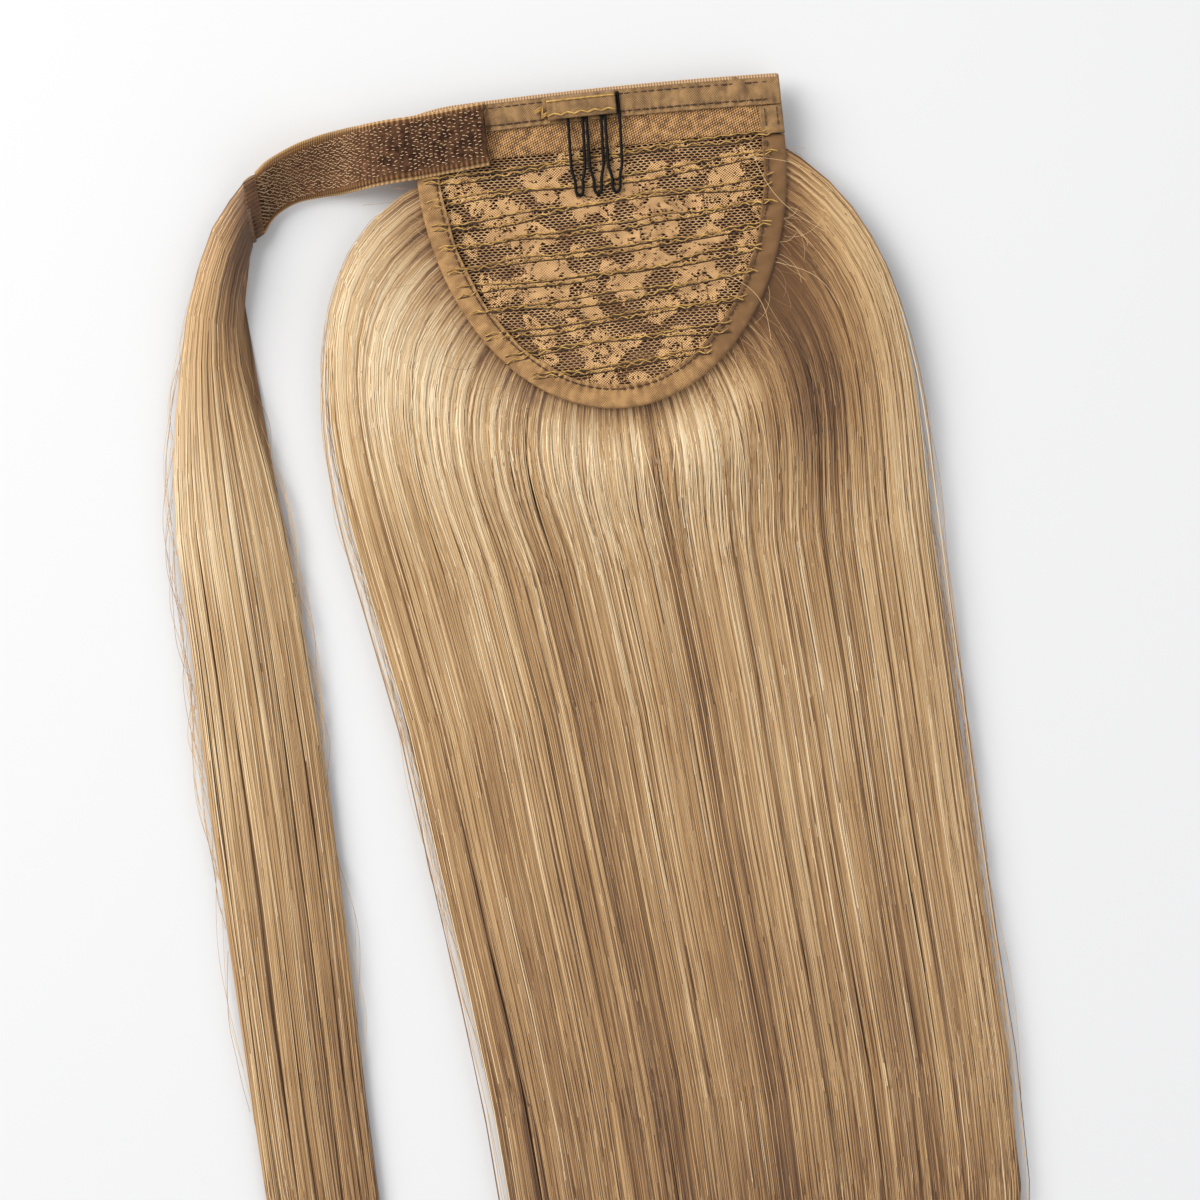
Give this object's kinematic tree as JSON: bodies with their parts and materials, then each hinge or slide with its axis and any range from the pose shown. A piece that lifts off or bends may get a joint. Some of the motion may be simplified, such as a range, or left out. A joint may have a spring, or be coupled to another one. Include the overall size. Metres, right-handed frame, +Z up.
{
  "type": "ponytail hairpiece",
  "caption": "Wrap-round ponytail hairpiece lying open: a U-shaped lace base with a wire comb, a hook-tape strap with a wrap strand, and long straight hair.",
  "frame": {"origin": "middle of the whole piece's box, on the surface that it lies on", "axes": "+Z up out of the surface, +Y from the hair tips to the straight edge of the base, +X to the comb side away from the strap"},
  "size_m": [0.2404, 0.406, 0.0185],
  "materials": {
    "lace": "fine tan net with denser woven flowers, matt",
    "knit": "tan stretch knit, matt",
    "binding": "folded woven tape, matt",
    "wire": "black coated wire, satin",
    "ribbon": "tan grosgrain ribbon, matt",
    "hook_tape": "dark brown woven tape with pale hooks",
    "weft": "stitched brown seam",
    "hair": "straight dark-blond hair with soft sheen"
  },
  "bodies": {
    "root": {"lace_panel": "lace", "stretch_panel": "knit", "edge_binding": "binding", "top_band": "binding", "end_tab": "binding", "comb_sleeve": "binding", "comb": "wire", "strap_backing": "ribbon", "hook_tape": "hook_tape", "wrap_weft": "weft", "wrap_strand": "hair", "hair_fall": "hair"}
  },
  "joints": []
}
